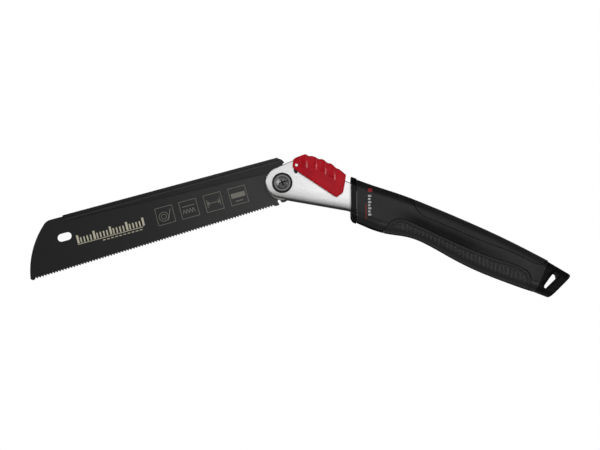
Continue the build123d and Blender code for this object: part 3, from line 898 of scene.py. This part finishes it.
# ---- lever --------------------------------------------------------------------------------------
@dataclass
class LeverCover:
    """The red lever's cover with rounded edges and four short finger ribs on each side, set where the lever
    shows highlights.

    Places are millimetres in the handle's own frame.
    """

    rounding: float = 0.55
    rib_places: tuple = ((14.2, 25.4), (23.1, 27.8), (33.4, 26.6), (43.6, 25.4))
    rib_height: float = 8.4
    rib_width: float = 1.6
    rib_proud: float = 0.6
    rib_lean: float = math.radians(4)
    face_y: float = 9.9

    def ribs(self, side: Side) -> list[bpy.types.Object]:
        """Four slim rounded ribs, upright in the row frame."""
        pieces = []
        for x, z in self.rib_places:
            deselect()
            bpy.ops.mesh.primitive_uv_sphere_add(segments=24, ring_count=16, radius=0.5)
            rib = bpy.context.object
            size = Matrix.Diagonal((self.rib_width * MM, 2 * self.rib_proud * MM, self.rib_height * MM, 1))
            spot = TO_HANDLE @ Vector((x * MM, side.value * self.face_y * MM, z * MM))
            rib.data.transform(Matrix.Translation(spot) @ Matrix.Rotation(self.rib_lean, 4, "Y") @ size)
            bpy.ops.object.shade_smooth()
            pieces.append(rib)
        return pieces

    def build(self, gloss: Moulded, shine: Moulded) -> None:
        """Round the cover, add the ribs and stand it in for the frame's piece."""
        cover = copy_node("lever_cover", "lever_cover_moulded")
        activate(cover)
        bpy.ops.object.mode_set(mode="EDIT")
        bpy.ops.mesh.select_all(action="SELECT")
        bpy.ops.mesh.dissolve_limited(angle_limit=math.radians(1.0))
        bpy.ops.object.mode_set(mode="OBJECT")
        rounding = cover.modifiers.new("rounding", "BEVEL")
        rounding.width = self.rounding * MM
        rounding.segments = 3
        rounding.limit_method = "ANGLE"
        rounding.angle_limit = math.radians(32)
        rounding.use_clamp_overlap = True
        apply_modifiers(cover)
        activate(cover)
        bpy.ops.object.shade_smooth_by_angle(angle=math.radians(30))
        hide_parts("lever_cover")
        finish_piece(cover, gloss, "lock_lever")
        # The ribs stand where the lever shows highlights; their lighter, pinker red is painted highlight.
        ribs = join_pieces(self.ribs(Side.FRONT) + self.ribs(Side.REAR), "lever_ribs")
        finish_piece(ribs, shine, "lock_lever")


# ---- studio -------------------------------------------------------------------------------------
@dataclass(frozen=True)
class Softbox:
    """One large soft light that faces the saw."""

    name: str
    place: tuple
    size: float
    radiance: float

    def hang(self, aim: Vector) -> None:
        """Make the light and point it.

        Args:
            aim: The point that it faces.
        """
        data = bpy.data.lights.new(self.name, "AREA")
        data.shape = "DISK"
        data.size = self.size
        data.energy = self.radiance * math.pi * math.pi * self.size * self.size / 4
        lamp = bpy.data.objects.new(self.name, data)
        lamp.location = self.place
        lamp.rotation_euler = (aim - Vector(self.place)).to_track_quat("-Z", "Y").to_euler()
        lamp.visible_camera = False
        bpy.context.scene.collection.objects.link(lamp)


@dataclass
class Set:
    """The white surround, softboxes and camera."""

    lens: float = 70.6
    distance: float = 1.124
    elevation: float = math.radians(-9.5)
    aim: Vector = Vector((0.0005, 0.0, 0.0690))
    overhead: float = 0.05
    level: float = 0.16
    below: float = 0.24
    floor_height: float = -1.9
    floor_radius: float = 9.0
    floor_tone: tuple = rgb(0.9, 0.9, 0.9)
    softboxes: tuple = (
        Softbox("front_box", (0.46, -2.2, 0.50), 1.25, 1.38),
        Softbox("left_box", (-2.0, -1.3, 0.85), 1.0, 4.2),
        Softbox("right_box", (2.1, -1.1, 0.1), 1.0, 3.4),
        Softbox("low_box", (0.1, -1.7, -1.2), 1.0, 2.2),
        Softbox("rear_left_box", (-1.9, 1.8, 1.3), 1.2, 1.4),
        Softbox("rear_right_box", (2.0, 1.5, 0.7), 1.2, 1.2),
    )

    def surround(self) -> None:
        """White where the camera sees it, and a dim graded room for reflections."""
        world = bpy.data.worlds.new("studio_world")
        world.use_nodes = True
        tree = world.node_tree
        background = tree.nodes["Background"]
        place = tree.nodes.new("ShaderNodeTexCoord")
        split = tree.nodes.new("ShaderNodeSeparateXYZ")
        tree.links.new(place.outputs["Generated"], split.inputs["Vector"])
        height = tree.nodes.new("ShaderNodeMapRange")
        height.inputs["From Min"].default_value = -1.0
        tree.links.new(split.outputs["Z"], height.inputs["Value"])
        ramp = tree.nodes.new("ShaderNodeValToRGB")
        stops = ((0.0, self.below), (0.55, self.level), (0.9, self.overhead))
        while len(ramp.color_ramp.elements) < len(stops):
            ramp.color_ramp.elements.new(0.5)
        for element, (position, level) in zip(ramp.color_ramp.elements, stops):
            element.position = position
            element.color = rgb(level, level, level)
        tree.links.new(height.outputs["Result"], ramp.inputs["Fac"])
        path = tree.nodes.new("ShaderNodeLightPath")
        mix = tree.nodes.new("ShaderNodeMix")
        mix.data_type = "RGBA"
        tree.links.new(path.outputs["Is Camera Ray"], mix.inputs["Factor"])
        tree.links.new(ramp.outputs["Color"], mix.inputs[6])
        mix.inputs[7].default_value = rgb(1, 1, 1)
        tree.links.new(mix.outputs[2], background.inputs["Color"])
        bpy.context.scene.world = world

    def floor(self) -> None:
        """A plain pale floor far below, which adds no light of its own to the saw."""
        deselect()
        bpy.ops.mesh.primitive_circle_add(vertices=64, radius=self.floor_radius, fill_type="NGON",
                                          location=(0.0, 0.0, self.floor_height))
        ground = bpy.context.object
        ground.name = "pale_floor"
        material = bpy.data.materials.new("pale_floor")
        material.use_nodes = True
        shader = material.node_tree.nodes["Principled BSDF"]
        shader.inputs["Base Color"].default_value = self.floor_tone
        shader.inputs["Emission Color"].default_value = rgb(1, 1, 1)
        shader.inputs["Emission Strength"].default_value = 1.0
        paint(ground, material)
        ground.visible_diffuse = False
        ground.visible_glossy = False
        ground.visible_shadow = False
        ground.visible_transmission = False

    def build(self) -> None:
        """Set everything up."""
        self.surround()
        self.floor()
        for softbox in self.softboxes:
            softbox.hang(self.aim)
        data = bpy.data.cameras.new("camera")
        data.lens = self.lens
        data.sensor_width = 36.0
        camera = bpy.data.objects.new("camera", data)
        away = Vector((0.0, -math.cos(self.elevation), math.sin(self.elevation)))
        camera.location = self.aim + away * self.distance
        camera.rotation_euler = (-away).to_track_quat("-Z", "Y").to_euler()
        bpy.context.scene.collection.objects.link(camera)
        bpy.context.scene.camera = camera
        bpy.context.scene.view_settings.view_transform = "Standard"


# ---- sub-assemblies -----------------------------------------------------------------------------
ZINC = Metal("zinc_plate", rgb(0.62, 0.62, 0.6), 0.38, 0.06)
TURNED = Metal("turned_steel", rgb(0.8, 0.8, 0.8), 0.22, 0.05)
BLACK_OXIDE = Metal("black_oxide", rgb(0.03, 0.03, 0.032), 0.35, 0.05)


@dataclass
class Blade:
    """The toothed blade with its spine, tang plates, thrust washers and print."""

    coating: CoatedSteel = CoatedSteel(
        "blade_coating", rgb(0.011, 0.011, 0.011), rgb(0.055, 0.055, 0.055),
        lines=(ToneLine(-19.4, 1.5, rgb(0.20, 0.20, 0.195), math.radians(1.78), 0.45),))
    # Painted light on the spine: a near-black line of painted shade along its upper edge and a lighter line
    # of painted highlight just below it.
    lacquer: CoatedSteel = CoatedSteel(
        "lacquered_spine_painted_light", rgb(0.008, 0.008, 0.009), rgb(0.022, 0.022, 0.022), 0.38,
        lines=(ToneLine(23.6, 0.55, rgb(0.002, 0.002, 0.002)),
               ToneLine(22.3, 0.8, rgb(0.06, 0.06, 0.06), strength=0.6)))
    nylon: Moulded = Moulded("nylon", rgb(0.75, 0.73, 0.66), 0.4)
    ink: PrintAndHighlightFilm = PrintAndHighlightFilm("cream_ink", rgb(0.85, 0.80, 0.62))
    faint: PrintAndHighlightFilm = PrintAndHighlightFilm("faint_ink", rgb(0.30, 0.29, 0.25))

    def build(self) -> None:
        """Dress the blade's pieces and print its face."""
        dress(self.coating, "saw_blade")
        dress(self.lacquer, "blade_spine", "spine_rivet")
        dress(ZINC, "tang_plate_rear", "tang_plate_front", "tang_rivets")
        dress(self.nylon, "thrust_washer_rear", "thrust_washer_front")
        BladePrint().build(self.ink, self.faint)


@dataclass
class Bracket:
    """The two cheeks with everything on the pivot, and the fixed pins."""

    satin: PlateMetal = PlateMetal("chrome_satin_painted_shade")
    dome: DomeSteel = DomeSteel("worn_and_shaded_dome")
    chrome: Metal = Metal("polished_chrome", rgb(0.75, 0.75, 0.75), 0.24, 0.03)
    grey: Metal = Metal("grey_steel", rgb(0.22, 0.22, 0.22), 0.3, 0.06)

    def build(self) -> None:
        """Dress the bracket's pieces."""
        dress(self.satin, "bracket_cheek_rear", "bracket_cheek_front")
        dress(self.dome, "pivot_screw")
        dress(self.chrome, "pivot_nut")
        dress(self.grey, "pivot_washer_front", "pivot_washer_rear")
        dress(TURNED, "pivot_sleeve", "hinge_pin", "stop_pin")
        dress(BLACK_OXIDE, "pivot_ring_front", "pivot_ring_rear", "bracket_spacer")


@dataclass
class LockLever:
    """The lock lever: moulded cover, steel yoke, pin, dowels and spring."""

    gloss: Moulded = Moulded("red_gloss", rgb(0.70, 0.008, 0.022), 0.3, 900.0, 0.00001, 0.05, shine=0.14)
    # Painted highlight: the ribs take a lighter, pinker red than the cover.
    rib_highlight_gloss: Moulded = Moulded("red_highlight_rib", rgb(0.9, 0.08, 0.09), 0.2, 900.0, 0.00001, 0.05, 1.0, shine=0.6)

    def build(self) -> None:
        """Dress the steel pieces and build the cover."""
        dress(TURNED, "cover_rivets", "lever_spring")
        dress(BLACK_OXIDE, "lock_yoke", "lock_pin")
        LeverCover().build(self.gloss, self.rib_highlight_gloss)


@dataclass
class Handle:
    """The handle: shells, collar, gasket, pads with ribs, liner, cap and its printed mark."""

    hard: ShellBlack = ShellBlack("hard_shell_black_painted_shade")
    soft: Moulded = Moulded("soft_black", rgb(0.010, 0.010, 0.011), 0.5, 3400.0, 0.00004, 0.5, 0.0, 0.1)
    # Painted highlight: the grip ribs are a lighter black than the pads around them.
    rib: Moulded = Moulded("rib_highlight_black", rgb(0.034, 0.034, 0.035), 0.42, 3400.0, 0.00002, 0.3, 0.0, 0.2)
    # Painted highlight: the gasket is light grey to give the thin light line at the collar's groove.
    seal: Moulded = Moulded("seal_painted_highlight", rgb(0.12, 0.115, 0.12), 0.4)
    collar: Moulded = Moulded("collar_black", rgb(0.005, 0.005, 0.005), 0.3, shine=0.16)
    cap: Moulded = Moulded("cap_black", rgb(0.006, 0.006, 0.007), 0.46, shine=0.12)
    red: PrintAndHighlightFilm = PrintAndHighlightFilm("red_ink", rgb(0.42, 0.03, 0.03))
    white: PrintAndHighlightFilm = PrintAndHighlightFilm("white_ink", rgb(0.75, 0.75, 0.75))
    # Painted highlight: a pinkish grey strip where the collar's edge catches the light.
    highlight_strip: PrintAndHighlightFilm = PrintAndHighlightFilm("highlight_strip_grey", rgb(0.24, 0.20, 0.21))

    def build(self) -> None:
        """Dress the handle's pieces, raise the ribs and lay the mark."""
        dress(ZINC, "shell_screws")
        dress(self.hard, "handle_shell_rear", "handle_shell_front")
        dress(self.soft, "upper_grip", "lower_grip_rear", "lower_grip_front")
        dress(self.seal, "collar_gasket")
        dress(self.collar, "front_collar")
        dress(self.cap, "end_cap", "slot_liner")
        ribs = GripRibs()
        ribs.build(Side.FRONT, "lower_grip_front", self.rib)
        ribs.build(Side.REAR, "lower_grip_rear", self.rib)
        HandleMark().build(self.red, self.white, self.highlight_strip)


def main() -> None:
    """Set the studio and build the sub-assemblies in order."""
    logging.basicConfig(level=logging.INFO, format="%(message)s")
    for part in (Set(), Bracket(), LockLever(), Blade(), Handle()):
        part.build()
        LOG.info("%s is ready", type(part).__name__)


if __name__ == "__main__":
    main()
